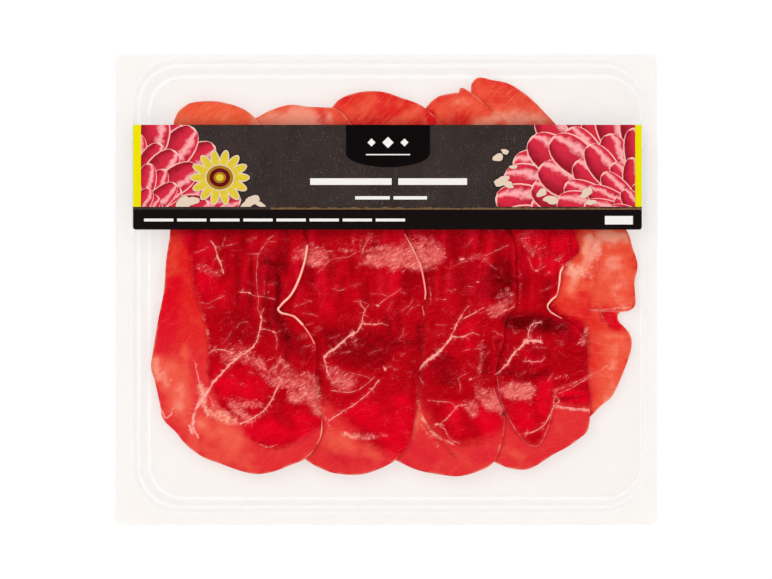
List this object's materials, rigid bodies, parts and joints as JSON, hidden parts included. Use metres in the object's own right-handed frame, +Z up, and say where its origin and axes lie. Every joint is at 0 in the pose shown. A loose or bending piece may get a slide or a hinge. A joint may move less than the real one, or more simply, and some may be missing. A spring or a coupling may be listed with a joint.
{
  "type": "pack of sliced bresaola",
  "caption": "Thin round slices of air-cured beef fanned in a shallow clear tray with flat flange, sealed under a clear lid film that carries a dark printed label band.",
  "frame": {"origin": "centre of the tray's foot, on the face that the pack rests on", "axes": "+X along the pack's long side, towards the end where the lowest slice lies; +Y across it, towards the end nearest the label; +Z up through the lid film"},
  "size_m": [0.23, 0.2, 0.0111],
  "materials": {
    "meat": null,
    "tray_plastic": "clear, glossy",
    "film_plastic": "clear, glossy",
    "label_print": "printed film, satin"
  },
  "bodies": {
    "root": {"tray": "tray_plastic", "slice_1": "meat", "slice_2": "meat", "slice_3": "meat", "slice_4": "meat", "slice_5": "meat", "lid_film": "film_plastic", "label": "label_print"}
  },
  "joints": []
}
